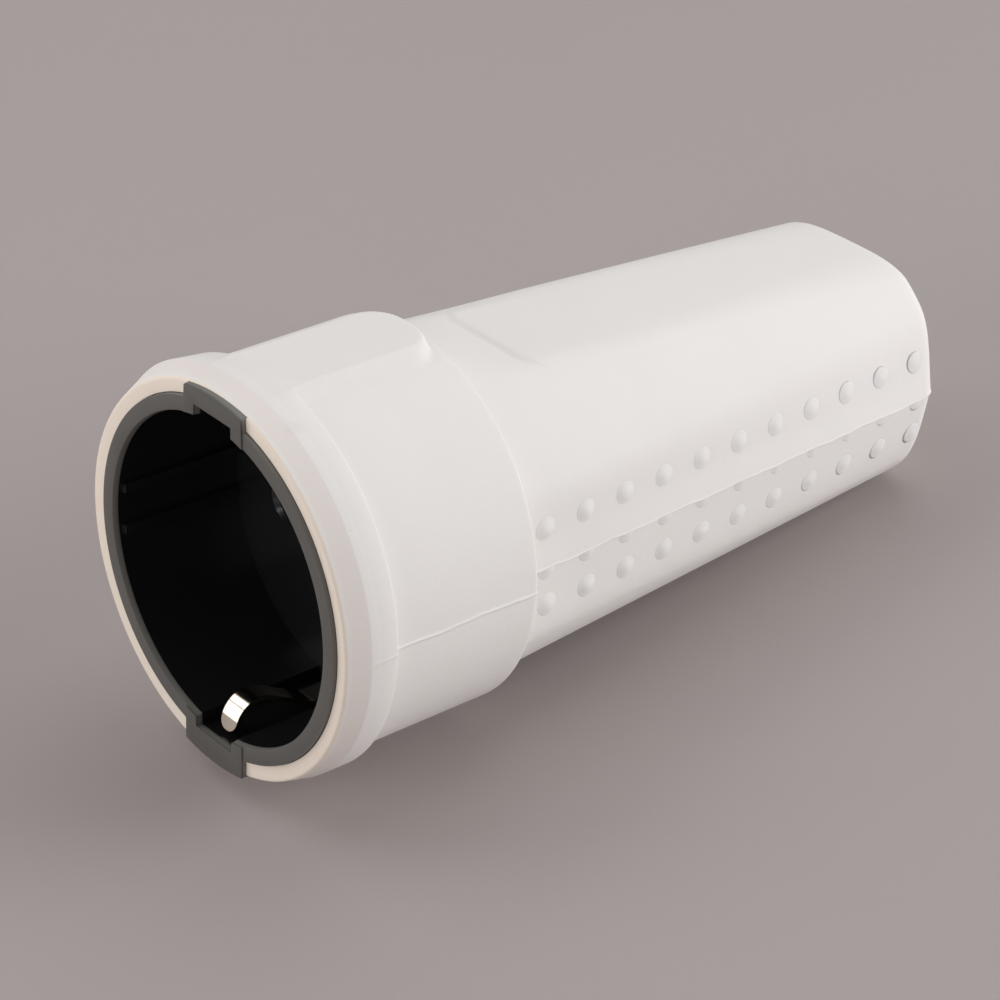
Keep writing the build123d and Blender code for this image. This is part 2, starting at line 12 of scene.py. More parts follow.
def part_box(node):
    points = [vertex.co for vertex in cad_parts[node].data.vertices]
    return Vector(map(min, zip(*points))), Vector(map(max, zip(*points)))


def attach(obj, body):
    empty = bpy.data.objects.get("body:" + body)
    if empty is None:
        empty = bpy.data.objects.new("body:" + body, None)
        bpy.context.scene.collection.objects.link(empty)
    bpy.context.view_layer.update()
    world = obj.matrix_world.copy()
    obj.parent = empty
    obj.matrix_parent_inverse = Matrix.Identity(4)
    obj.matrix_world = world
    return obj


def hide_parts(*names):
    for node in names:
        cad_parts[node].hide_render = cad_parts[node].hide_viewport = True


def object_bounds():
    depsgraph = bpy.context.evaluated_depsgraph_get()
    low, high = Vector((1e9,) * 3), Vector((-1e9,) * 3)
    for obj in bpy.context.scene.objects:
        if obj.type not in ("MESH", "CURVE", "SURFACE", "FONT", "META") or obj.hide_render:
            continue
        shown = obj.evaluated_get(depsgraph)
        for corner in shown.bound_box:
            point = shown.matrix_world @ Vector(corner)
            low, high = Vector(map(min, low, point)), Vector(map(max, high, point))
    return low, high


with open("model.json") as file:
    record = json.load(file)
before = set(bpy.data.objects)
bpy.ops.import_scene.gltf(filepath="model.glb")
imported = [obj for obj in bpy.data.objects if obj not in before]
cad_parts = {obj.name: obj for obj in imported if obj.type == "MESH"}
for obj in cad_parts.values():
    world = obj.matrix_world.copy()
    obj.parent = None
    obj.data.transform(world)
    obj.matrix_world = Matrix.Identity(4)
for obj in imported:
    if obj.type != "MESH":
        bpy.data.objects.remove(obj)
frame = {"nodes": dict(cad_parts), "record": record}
CAD_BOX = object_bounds()

bl_info = {
    "name": "Two-Pole Socket",
    "version": (1, 0, 0),
    "blender": (4, 5, 0),
    "location": "3D View > Sidebar > Socket",
    "description": "Dresses a trailing two-pole socket: soft sleeve, grip bumps, insert, clips and stage",
    "category": "Add Mesh",
}

MM = 0.001
SLEEVE_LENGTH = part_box("sleeve")[1].x
CUP_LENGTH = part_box("socket_cup")[1].x
COLLAR_OVER = 2.4 * MM
COLLAR_END = CUP_LENGTH + COLLAR_OVER
LIP_BAND = 5.0 * MM
RIM_BAND = 1.0 * MM

# Inside of the sleeve
SEAT_START = 2.0 * MM
CAVITY_RADIUS = 16.6 * MM
CAVITY_END = 45.0 * MM
BORE_RADIUS = 5.0 * MM
BORE_FLARE = 0.8 * MM
BORE_DEPTH = 22.0 * MM

# How finely the sleeve's skin is drawn, in degrees round it and in shares of the seam's half width
FINE_TURN = 0.6
COARSE_TURN = 1.25
LEAST_TURN = 0.05
FLATS_TURN = 42.0
SEAM_TURN = 12.0
SEAM_STEPS = (-2.2, -1.5, -1, -0.6, -0.3, 0, 0.3, 0.6, 1, 1.5, 2.2)

# Waves in the parting line: how many along the sleeve, relative height, phase
SEAM_WAVES = ((9, 1.0, 0.0), (23, 0.6, 1.0))

# The least sine or cosine that a length is divided by
LEAST_SLANT = 0.05

BULGE_FADE = 2.0 * MM
EDGE_LEAD = 0.05 * MM
TAB_CLEAR = 0.2 * MM
CUT_GAP = 0.001 * MM
WELD = 0.002 * MM
FLAT_ANGLE = 0.5
SHARP_ANGLE = 30.0
FLOOR_CONTACT = COLLAR_END - 0.5 * MM

# A bump's outline for a unit radius and rise: power of its cosine, skirt's radius and height, bottom
DOME_POWER = 1.4
DOME_SKIRT = (1.18, -0.8)
DOME_BOTTOM = -1.0
MIDDLE_ROW_SINK = 0.6

# Small marks on the sleeve: centre and radius in millimetres, strength
MARKS = (
    ((8.74, -3.92, 24.08), 0.22, 0.45),
    ((26.31, -0.11, 24.0), 0.2, 0.35),
    ((3.73, -19.6, 14.53), 0.22, 0.4),
    ((7.29, -21.61, 8.44), 0.22, 0.35),
    ((22.25, -0.96, 23.9), 0.3, 0.3),
    ((3.8, -9.4, 22.3), 1.3, 0.12),
)

# Soft lamps: name, azimuth and elevation in degrees, power in watts
LAMPS = (
    ("key_lamp_low", 315, 12, 4.7),
    ("key_lamp_high", 315, 25, 3.3),
    ("window_lamp", 136, 14, 1.5),
    ("far_lamp", 135, 50, 1.6),
    ("mouth_lamp", 180, 14, 2.4),
    ("top_lamp", 0, 75, 1.4),
    ("far_side_lamp", 90, 50, 0.9),
    ("rear_lamp", 45, 50, 0.7),
    ("near_lamp", 225, 12, 0.6),
)


def length(name, description, millimetres):
    """A length property, with its default in millimetres."""
    return bpy.props.FloatProperty(
        name=name, description=description, default=millimetres * MM, unit="LENGTH")


def angle(name, description, degrees):
    """An angle property, with its default in degrees."""
    return bpy.props.FloatProperty(
        name=name, description=description, default=math.radians(degrees), subtype="ANGLE")


def number(name, description, default):
    """A plain number property."""
    return bpy.props.FloatProperty(name=name, description=description, default=default)


def colour(name, description, default):
    """A colour property."""
    return bpy.props.FloatVectorProperty(
        name=name, description=description, subtype="COLOR", size=3, default=default, min=0, max=1)


class SleeveSizes(bpy.types.PropertyGroup):
    """Sizes of the soft sleeve, along the socket's axis and across it"""

    lip_start: length("Lip start", "Where the mouth's lip begins", 0.5)
    lip_radius: length("Lip radius", "Radius of the lip's front edge", 23.73)
    lip_edge_round: length("Lip edge round", "Rounding of the lip's front edge", 0.3)
    lip_offset: length("Lip offset", "How far the soft lip sits off centre", 0.65)
    lip_offset_turn: angle("Lip offset turn", "Direction of that offset, from the top", 120)
    mouth_rise: length("Mouth rise", "How far the upper flange, collar and saddle sit high", 0.35)
    bulge_turn: angle("Bulge turn", "Where the flange bulges, from the top", 40)
    bulge_reach: angle("Bulge reach", "Half of the angle over which the flange bulges", 46)
    bulge_lip: length("Lip bulge", "Bulge of the lip's front edge", -0.35)
    bulge_front: length("Front bulge", "Bulge of the flange's front edge", 0.68)
    bulge_rear: length("Rear bulge", "Bulge of the flange's rear edge", -0.12)
    mouth_radius: length("Mouth radius", "Radius of the opening that the insert fills", 21.8)
    seat_radius: length("Seat radius", "Radius of the seat behind the insert's rim", 21.2)
    flange_start: length("Flange start", "Where the flange begins", 3.3)
    flange_end: length("Flange end", "Where the flange ends", 6.8)
    flange_radius: length("Flange radius", "Radius of the flange", 24.28)
    flange_round: length("Flange round", "Rounding of the flange's rear edge", 0.15)
    collar_radius: length("Collar radius", "Radius of the collar over the insert", 23.16)
    collar_round: length("Collar round", "Rounding of the collar's rear edge", 0.2)
    neck_length: length("Neck length", "Length of the neck behind the collar", 10.6)
    neck_step: length("Neck step", "Step from the neck up to the handle's flats", 0.23)
    handle_radius: length("Handle radius", "Radius of the handle's cone behind the collar", 21.45)
    handle_taper: number("Handle taper", "Loss of the cone's radius over its length", 0.0645)
    flat_height: length(
        "Flat height", "Height of the upper and lower flats behind the collar", 19.6)
    flat_taper: number("Flat taper", "Loss of the flats' height over their length", 0.0678)
    side_width: length("Side width", "Distance of the side faces' edges behind the collar", 19.65)
    side_taper: number("Side taper", "Loss of the side faces' distance over their length", 0.0677)
    crown_front: length("Front crown", "Height of the side faces' ridge behind the collar", 0.25)
    crown_rear: length("Rear crown", "Height of the side faces' ridge at the rear", 1.35)
    flat_crown: length("Flat crown", "How far the flats bulge at the rear", 0.3)
    flat_reach: length("Flat reach", "Half width over which the flats bulge", 8.6)
    face_blend: length("Face blend", "Softness of the edges between the handle's faces", 0.7)
    face_blend_rear: length("Rear face blend", "Softness of the same edges at the rear", 1.5)
    facet_straight: length(
        "Facet straight", "Half length of the straight front edge of the handle's flats", 5.0)
    facet_corner: length(
        "Facet corner", "Length of the rounded front corners of the handle's flats", 4.1)
    facet_width: length("Facet width", "Half width of the flats behind their front corners", 9.4)
    facet_soft: length("Facet softness", "Width over which the neck rises to the flats", 1.3)
    facet_taper: number("Facet taper", "Loss of that half width over the length", 0.1)
    facet_fade: length("Facet fade", "Length over which the step beside the flats fades out", 17.0)
    facet_flank: length("Facet flank", "Width over which the step's foot runs out sideways", 3.2)
    rear_round: length("Rear round", "Rounding of the handle's rear edge", 2.8)
    seam_height: length("Seam height", "Height of the mould's parting line", 0.16)
    seam_ledge: length(
        "Seam ledge", "How far the handle's surface stands out above the parting line", 0.30)
    seam_ledge_reach: length(
        "Seam ledge reach", "Width over which that ledge runs out upwards", 2.6)
    seam_wave: length("Seam wave", "How far the parting line wanders", 0.09)
    seam_half_width: length("Seam half width", "Half width of the mould's parting line", 0.16)


class SaddleSizes(bpy.types.PropertyGroup):
    """Sizes of the raised covers over the insert's keys"""

    height: length("Height", "Height of the saddle's top", 24.05)
    half_width: length("Half width", "Half width of the saddle's top", 5.4)
    foot_spread: length("Foot spread", "How much wider the saddle is at its foot", 1.2)
    foot_depth: length("Foot depth", "Depth of the foot below the top", 2.2)
    rear_inset: length("Rear inset", "How far the saddle ends before the collar", 0.7)
    corner: length("Corner", "Rounding of the saddle's rear corners", 3.7)
    foot_blend: length("Foot blend", "Softness of the saddle's foot and edges", 0.9)


class InsertSizes(bpy.types.PropertyGroup):
    """Sizes of the insert's softened front"""

    tab_bevel: length("Tab bevel", "Bevel of the upper tab's front edge", 0.1)
    tab_gap: length("Tab gap", "How far the upper tab stays below the lip's cone", 0.42)
    edge_round: length("Edge round", "Rounding of the insert's front edges", 0.13)
    edge_reach: length("Edge reach", "How far back the edges are rounded", 1.6)


class BumpSizes(bpy.types.PropertyGroup):
    """Sizes of the grip bumps on the side faces"""

    columns: bpy.props.IntProperty(
        name="Columns", description="Number of bumps in a row", default=11, min=1)
    pitch: length("Pitch", "Distance between columns", 6.34)
    front_gap: length("Front gap", "Distance of the first column from the collar", 4.5)
    row_height: length("Row height", "Height of the outer rows from the middle row", 5.07)
    row_shift: length("Row shift", "How far each higher row is set forward", 0.41)
    radius: length("Radius", "Radius of the first bumps' feet", 1.5)
    radius_rear: length("Rear radius", "Radius of the last bumps' feet", 1.2)
    rise_front: length("Front rise", "Height of the first bumps", 0.3)
    rise_rear: length("Rear rise", "Height of the last bumps", 0.14)


class FinishColours(bpy.types.PropertyGroup):
    """Colours of the finishes"""

    soft_white: colour("Soft white", "Colour of the sleeve", (0.85, 0.82, 0.80))
    # Lip colour: real yellowing, with a warm painted reflection in its tint
    lip_yellowing_and_reflection: colour("Lip shade", "Colour of the worn, darker lip", (0.92, 0.80, 0.69))
    mark: colour("Mark", "Colour of small specks and scuffs", (0.42, 0.37, 0.33))
    black: colour("Black", "Colour of the insert inside the recess", (0.010, 0.010, 0.010))
    # Painted sheen: the rim's grey stands for light off the dull black plastic
    rim_sheen_grey: colour("Rim grey", "Colour of the insert's dull rim", (0.116, 0.110, 0.101))
    carrier_grey: colour("Carrier grey", "Colour of the contact carrier", (0.16, 0.16, 0.165))
    brass: colour("Brass", "Colour of the contacts", (0.78, 0.57, 0.27))
    plating: colour("Plating", "Colour of the earth clips' plating", (0.92, 0.83, 0.70))
    spring_steel: colour("Spring steel", "Colour of the contact springs", (0.42, 0.42, 0.43))
    screw_steel: colour("Screw steel", "Colour of the screws and nuts", (0.60, 0.60, 0.57))


class StageSizes(bpy.types.PropertyGroup):
    """The floor, the lights and the camera"""

    floor_tilt: angle("Floor tilt", "Slope of the floor that the socket lies on", 7.65)
    floor_height: length(
        "Floor height", "Height of the floor below the axis at the saddle's rear edge", -24.0)
    floor_size: length("Floor size", "Half width of the floor", 3000)
    floor_colour: colour("Floor colour", "Colour of the pale floor", (0.43, 0.38, 0.372))
    lamp_distance: length("Lamp distance", "Distance of the soft lamps from the socket", 900)
    lamp_width: length("Lamp width", "Width of the soft lamps", 550)
    world_strength: number("World strength", "Strength of the even light from all round", 0.085)
    camera_place: bpy.props.FloatVectorProperty(
        name="Camera place", description="Where the camera stands", subtype="TRANSLATION", size=3,
        default=(-187.44 * MM, -261.43 * MM, 193.68 * MM))
    camera_right: bpy.props.FloatVectorProperty(
        name="Camera right", description="Direction to the picture's right", subtype="DIRECTION", size=3,
        default=(0.765471, -0.642396, 0.037170))
    camera_down: bpy.props.FloatVectorProperty(
        name="Camera down", description="Direction to the picture's bottom", subtype="DIRECTION", size=3,
        default=(-0.292849, -0.399227, -0.868825))
    lens: number("Lens", "Focal length on a 36 mm sensor, in millimetres", 121.46)
    shift: bpy.props.FloatVectorProperty(
        name="Shift", description="Shift of the picture's centre, as a share of its width", size=2,
        default=(0.000556, 0.000421))


def sizes(name):
    """The scene's property group of that name."""
    return getattr(bpy.context.scene, name)


# Mesh helpers


def mesh_object(name, vertices, faces):
    """A new mesh object at the origin, from points in metres and faces that point outwards."""
    mesh = bpy.data.meshes.new(name)
    mesh.from_pydata([tuple(v) for v in vertices], [], [tuple(f) for f in faces])
    mesh.validate()
    mesh.update()
    piece = bpy.data.objects.new(name, mesh)
    bpy.context.scene.collection.objects.link(piece)
    return piece


def soft_min(a, b, blend):
    """The lesser of two radii, with the corner between them rounded inwards."""
    overlap = np.clip(blend - np.abs(a - b), 0, None) / blend
    return np.minimum(a, b) - overlap**2 * blend / 4


def soft_max(a, b, blend):
    """The greater of two radii, with the corner between them filled."""
    return -soft_min(-a, -b, blend)


def smooth_step(low, high, value):
    """A smooth rise from 0 at low to 1 at high."""
    t = np.clip((value - low) / (high - low), 0, 1)
    return t * t * (3 - 2 * t)


def quarter_round(distance, radius):
    """How far a quarter round of this radius falls back at a distance from its end."""
    short = np.clip(radius - distance, 0, radius)
    return radius - np.sqrt(radius**2 - short**2)


# Node helpers


class Nodes:
    """A node tree, with short calls that add and link nodes."""

    def __init__(self, tree):
        self.tree = tree

    def node(self, kind, inputs=None, **settings):
        """Adds a node with its settings, and sets or links its inputs."""
        node = self.tree.nodes.new(kind)
        for key, value in settings.items():
            setattr(node, key, value)
        for key, value in (inputs or {}).items():
            self.set(node.inputs[key], value)
        return node

    def set(self, socket, value):
        """Links an input to another node's output, or gives it a plain value."""
        if isinstance(value, bpy.types.NodeSocket):
            self.tree.links.new(value, socket)
        else:
            socket.default_value = value

    def calc(self, operation, *values):
        """What a sum makes of its values."""
        node = self.node("ShaderNodeMath", dict(enumerate(values)), operation=operation)
        return node.outputs[0]

    def spread(self, value, low, high, first=0.0, last=1.0):
        """A value from low to high, spread from first to last."""
        node = self.node("ShaderNodeMapRange", {
            "Value": value, "From Min": low, "From Max": high, "To Min": first, "To Max": last})
        return node.outputs[0]


# Sleeve


def handle_faces(x, height, edge_blend, s):
    """Radius of the handle's section at x, over angles whose sines and cosines s holds."""
    size = sizes("sleeve_sizes")
    along = x - COLLAR_END
    cone = size.handle_radius - size.handle_taper * along
    side = size.side_width - size.side_taper * along
    share = along / (SLEEVE_LENGTH - COLLAR_END)
    crown = size.crown_front + (size.crown_rear - size.crown_front) * share
    edge = math.sqrt(cone**2 - side**2)
    upright = np.maximum(s["cos"], LEAST_SLANT)
    bulge = 1 - (height * s["sin"] / upright / size.flat_reach) ** 2
    flat = (height + size.flat_crown * share * np.clip(bulge, 0, 1)) / upright
    ridge = (side + crown) / np.maximum(s["sin"] + crown * s["cos"] / edge, LEAST_SLANT)
    round_part = np.full_like(flat, cone)
    return soft_min(soft_min(round_part, flat, edge_blend), ridge, edge_blend)


def sleeve_radius(x, s):
    """Radius of the handle's outside at x, with the neck's step and the flats' rounded front corners."""
    size = sizes("sleeve_sizes")
    neck_end = COLLAR_END + size.neck_length
    share = (x - COLLAR_END) / (SLEEVE_LENGTH - COLLAR_END)
    blend = size.face_blend + (size.face_blend_rear - size.face_blend) * share**2
    height = size.flat_height - size.flat_taper * (x - COLLAR_END)
    cone = size.handle_radius - size.handle_taper * (x - COLLAR_END)
    handle = handle_faces(x, height, blend, s)
    across = handle * s["sin"]
    widest = size.facet_width - size.facet_taper * max(x - neck_end - size.facet_corner, 0)
    flank = 1 - smooth_step(size.facet_width, size.facet_width + size.facet_flank, across)
    fade = 1 - smooth_step(neck_end, neck_end + size.facet_fade, x)
    lowered = handle - size.neck_step * fade * flank
    if x < neck_end:
        upright = handle_faces(x, cone, blend, s)
        lowered = upright + (lowered - upright) * (x - COLLAR_END) / size.neck_length
    corner = np.clip((across - size.facet_straight) / (size.facet_width - size.facet_straight), 0, 1)
    front = x - neck_end - size.facet_corner * (1 - np.sqrt(1 - corner**2))
    inside = np.minimum(front + EDGE_LEAD, (widest - across) / 2)
    radius = lowered + (handle - lowered) * smooth_step(0, size.facet_soft, inside)
    return radius - quarter_round(SLEEVE_LENGTH - x, size.rear_round)


def saddle_radius(x, s):
    """Radius of the saddles at x, or nothing where they don't reach."""
    size = sizes("saddle_sizes")
    end = COLLAR_END - size.rear_inset
    inset = quarter_round(end - x, size.corner)
    run, rise = size.foot_depth, size.foot_spread
    slant = math.hypot(run, rise)
    reach = (run * (size.half_width - inset) + rise * size.height) / slant
    side = reach / np.maximum((run * s["sin"] + rise * s["cos"]) / slant, LEAST_SLANT)
    return soft_min(size.height / np.maximum(s["cos"], LEAST_SLANT), side, size.foot_blend)


def mouth_radius(x, s):
    """Radius of the lip, the flange and the collar at x, with the saddles on them."""
    size, saddle = sizes("sleeve_sizes"), sizes("saddle_sizes")
    share = (x - size.lip_start) / (size.flange_start - size.lip_start)
    lip = size.lip_radius + (size.flange_radius - size.lip_radius) * min(max(share, 0), 1)
    lip -= float(quarter_round(x - size.lip_start, size.lip_edge_round))
    flange = float(quarter_round(size.flange_end - x, size.flange_round))
    base = lip - flange if x <= size.flange_end else size.collar_radius
    base -= float(quarter_round(COLLAR_END - x, size.collar_round))
    fading = 1 - min(max(share, 0), 1)
    off_centre = size.lip_offset * fading * np.cos(s["turn"] - size.lip_offset_turn)
    places = (size.lip_start, size.flange_start, size.flange_end, size.flange_end + BULGE_FADE)
    bulge = np.interp(x, places, (size.bulge_lip, size.bulge_front, size.bulge_rear, 0))
    # Angle from the bulge's middle, as a share of its reach
    away = np.angle(np.exp(1j * (s["turn"] - size.bulge_turn))) / size.bulge_reach
    radius = base + off_centre + bulge * np.cos(np.clip(away, -1, 1) * math.pi / 2) ** 2
    if size.flange_start <= x <= COLLAR_END - saddle.rear_inset:
        sunk = 2 * saddle.foot_blend * (1 - smooth_step(size.flange_start, size.flange_end, x))
        radius = soft_max(radius, saddle_radius(x, s) - sunk, saddle.foot_blend)
    rise = size.mouth_rise * smooth_step(size.flange_start, size.flange_end, x)
    return radius + rise * np.clip(np.cos(s["turn"]), 0, 1)


def round_stations(end, radius, count):
    """Places over a quarter round that ends at end, closest at its end."""
    return end - radius * (1 - np.sin(np.linspace(0, math.pi / 2, count)))


def sleeve_stations():
    """Places along the axis where the sleeve's skin has a ring, closest where its shape turns.

    Each span below has its first place, its last place and its number of rings."""
    size, saddle = sizes("sleeve_sizes"), sizes("saddle_sizes")
    neck_end = COLLAR_END + size.neck_length
    corner_start = COLLAR_END - saddle.rear_inset - saddle.corner
    turns = np.linspace(0, math.pi / 2, 7)
    lip = size.lip_start + size.lip_edge_round * (1 - np.cos(turns))
    flange = round_stations(size.flange_end, size.flange_round, len(turns))
    corner = corner_start + saddle.corner * np.sin(np.linspace(0, math.pi / 2, 12))
    collar = round_stations(COLLAR_END, size.collar_round, len(turns))
    rear = round_stations(SLEEVE_LENGTH, size.rear_round, 10)
    return {
        "mouth": np.unique(np.concatenate([
            lip, [size.flange_start - EDGE_LEAD, size.flange_start], flange,
            np.linspace(size.flange_end + 0.02 * MM, corner_start, 10), corner, collar])),
        "handle": np.unique(np.concatenate([
            np.linspace(COLLAR_END, neck_end - 0.2 * MM, 16),
            np.linspace(neck_end - 0.06 * MM, neck_end + size.facet_soft, 14),
            np.linspace(neck_end + size.facet_soft + 0.15 * MM,
                        neck_end + size.facet_corner + 0.6 * MM, 30),
            np.linspace(neck_end + size.facet_corner + 1.2 * MM,
                        SLEEVE_LENGTH - size.rear_round - 0.2 * MM, 60),
            rear])),
    }


def ring_angles():
    """Angles round the sleeve from the top, closest at the seams and over the flats and saddles."""
    size = sizes("sleeve_sizes")
    fine, coarse, reach = math.radians(FINE_TURN), math.radians(COARSE_TURN), math.radians(FLATS_TURN)
    flats = [centre + np.arange(-reach, reach, fine) for centre in (0, math.pi)]
    sides = [centre + np.arange(reach, math.pi - reach, coarse) for centre in (0, math.pi)]
    near = size.seam_half_width / size.handle_radius * np.array(SEAM_STEPS)
    seams = [math.pi / 2 + near, 3 * math.pi / 2 + near]
    angles = np.sort(np.mod(np.concatenate(flats + sides + seams), 2 * math.pi))
    return angles[np.diff(angles, append=angles[0] + 2 * math.pi) > math.radians(LEAST_TURN)]


def seam_wave(x):
    """How far the parting line has wandered at x, as an angle."""
    size = sizes("sleeve_sizes")
    along = x / SLEEVE_LENGTH * 2 * math.pi
    waves = sum(height * math.sin(count * along + phase) for count, height, phase in SEAM_WAVES)
    return size.seam_wave / size.handle_radius * waves


def seam_relief(turn, x):
    """Height of the parting line's ridge, and of the handle's ledge above it."""
    size = sizes("sleeve_sizes")
    up = np.cos(turn) * size.handle_radius
    ridge = np.exp(-((up / size.seam_half_width) ** 2)) * size.seam_height
    ledge = smooth_step(-size.seam_half_width, size.seam_half_width, up)
    ledge *= np.exp(-((up / size.seam_ledge_reach) ** 2)) * size.seam_ledge
    rear = smooth_step(0, size.rear_round, SLEEVE_LENGTH - x)
    if x <= size.flange_start:
        return 0 * up
    return ridge + ledge * rear if x > COLLAR_END else ridge


def sleeve_rings():
    """Closed outline rings of the sleeve, from the lip along the outside and back inside."""
    size = sizes("sleeve_sizes")
    turn = ring_angles()
    s = {"sin": np.abs(np.sin(turn)), "cos": np.abs(np.cos(turn)), "turn": turn}
    near_seam = np.exp(-((np.cos(turn) / math.sin(math.radians(SEAM_TURN))) ** 2))
    near_seam *= np.sign(np.sin(turn))
    stations = sleeve_stations()
    outside = [(x, mouth_radius(x, s)) for x in stations["mouth"]]
    outside += [(x, sleeve_radius(x, s)) for x in stations["handle"]]
    half_width, half_height = CAD_BOX[1][1], CAD_BOX[1][2]
    widest = np.minimum(half_width / np.maximum(s["sin"], LEAST_SLANT),
                        half_height / np.maximum(s["cos"], LEAST_SLANT))
    rings = [(x, turn + near_seam * seam_wave(x), np.minimum(radius + seam_relief(turn, x), widest))
             for x, radius in outside]
    inside = [
        (SLEEVE_LENGTH, BORE_RADIUS + BORE_FLARE), (SLEEVE_LENGTH - BORE_FLARE, BORE_RADIUS),
        (SLEEVE_LENGTH - BORE_DEPTH, BORE_RADIUS), (CAVITY_END, CAVITY_RADIUS),
        (CUP_LENGTH, CAVITY_RADIUS), (CUP_LENGTH, size.seat_radius), (SEAT_START, size.seat_radius),
        (SEAT_START, size.mouth_radius), (size.lip_start, size.mouth_radius)]
    rings += [(x, turn, np.full_like(turn, radius)) for x, radius in inside]
    return rings


def rings_to_mesh(name, rings):
    """A closed tube of faces through rings of points, joined last to first."""
    points = [
        np.stack([np.full_like(turn, x), radius * np.sin(turn), radius * np.cos(turn)], axis=1)
        for x, turn, radius in rings
    ]
    count = len(rings[0][1])
    faces = []
    for ring in range(len(rings)):
        a, b = ring * count, (ring + 1) % len(rings) * count
        for k in range(count):
            n = (k + 1) % count
            faces.append((a + k, b + k, b + n, a + n))
    return mesh_object(name, np.concatenate(points), faces)


def smooth_by_angle(piece, degrees=32):
    """Smooth shading that keeps edges sharper than an angle."""
    piece.data.polygons.foreach_set("use_smooth", [True] * len(piece.data.polygons))
    mesh = bmesh.new()
    mesh.from_mesh(piece.data)
    for edge in mesh.edges:
        if len(edge.link_faces) == 2:
            edge.smooth = edge.calc_face_angle(0) < math.radians(degrees)
    mesh.to_mesh(piece.data)
    mesh.free()


def outward(piece):
    """Turns every face of a closed mesh outwards."""
    mesh = bmesh.new()
    mesh.from_mesh(piece.data)
    bmesh.ops.recalc_face_normals(mesh, faces=mesh.faces)
    mesh.to_mesh(piece.data)
    mesh.free()


# Insert


def lip_cone(x):
    """Radius of the lip's cone at x."""
    size = sizes("sleeve_sizes")
    share = (x - size.lip_start) / (size.flange_start - size.lip_start)
    return size.lip_radius + (size.flange_radius - size.lip_radius) * share


def trim_tabs(mesh):
    """Brings the insert's upper tab down inside the lip's cone, with a bevel in front of the lip."""
    size, insert = sizes("sleeve_sizes"), sizes("insert_sizes")
    whole = mesh.verts[:] + mesh.edges[:] + mesh.faces[:]
    bmesh.ops.bisect_plane(
        mesh, geom=whole, plane_co=(size.lip_start, 0, 0), plane_no=(1, 0, 0), dist=CUT_GAP)
    front = min(vert.co.x for vert in mesh.verts)
    for vert in mesh.verts:
        reach = math.hypot(vert.co.y, vert.co.z)
        if reach < size.mouth_radius + TAB_CLEAR or vert.co.z < 0:
            continue
        limit = lip_cone(max(vert.co.x, size.lip_start)) - insert.tab_gap
        if vert.co.x < size.lip_start - 0.01 * MM:
            share = (vert.co.x - front) / (size.lip_start - front)
            limit -= insert.tab_bevel * (1 - share)
        if reach > limit:
            vert.co.y *= limit / reach
            vert.co.z *= limit / reach


def insert_skin():
    """The insert's shape with its upper tab trimmed and its front edges softened."""
    insert = sizes("insert_sizes")
    mesh = bmesh.new()
    mesh.from_mesh(frame["nodes"]["socket_cup"].data)
    bmesh.ops.remove_doubles(mesh, verts=mesh.verts, dist=WELD)
    bmesh.ops.dissolve_limit(
        mesh, angle_limit=math.radians(FLAT_ANGLE), verts=mesh.verts, edges=mesh.edges)
    trim_tabs(mesh)
    sharp = [edge for edge in mesh.edges
             if len(edge.link_faces) == 2 and edge.calc_face_angle(0) > math.radians(SHARP_ANGLE)
             and max(vert.co.x for vert in edge.verts) < insert.edge_reach]
    bmesh.ops.bevel(mesh, geom=sharp, offset=insert.edge_round, offset_type="OFFSET", segments=2,
                    profile=0.6, affect="EDGES", clamp_overlap=True)
    data = bpy.data.meshes.new("insert_skin")
    mesh.to_mesh(data)
    mesh.free()
    piece = bpy.data.objects.new("insert_skin", data)
    bpy.context.scene.collection.objects.link(piece)
    return piece


# Grip bumps


def bump_dome(ring_count=9, side_count=24):
    """One bump of unit radius and rise, with a skirt that runs on below its foot, as a closed dome."""
    mesh = bmesh.new()
    rings = [DOME_SKIRT, (1.0, 0.0)]
    for ring in range(1, ring_count):
        radius = 1 - ring / ring_count
        rings.append((radius, math.cos(radius * math.pi / 2) ** DOME_POWER))
    layers = []
    for radius, height in rings:
        layers.append([
            mesh.verts.new((radius * math.cos(2 * math.pi * k / side_count),
                            radius * math.sin(2 * math.pi * k / side_count), height))
            for k in range(side_count)])
    top, bottom = mesh.verts.new((0, 0, 1)), mesh.verts.new((0, 0, DOME_BOTTOM))
    for lower, upper in zip(layers, layers[1:]):
        for k in range(side_count):
            n = (k + 1) % side_count
            mesh.faces.new((lower[k], lower[n], upper[n], upper[k]))
    for k in range(side_count):
        n = (k + 1) % side_count
        mesh.faces.new((layers[-1][k], layers[-1][n], top))
        mesh.faces.new((layers[0][n], layers[0][k], bottom))
    data = bpy.data.meshes.new("bump_dome")
    mesh.to_mesh(data)
    mesh.free()
    data.polygons.foreach_set("use_smooth", [True] * len(data.polygons))
    return bpy.data.objects.new("bump_dome", data)


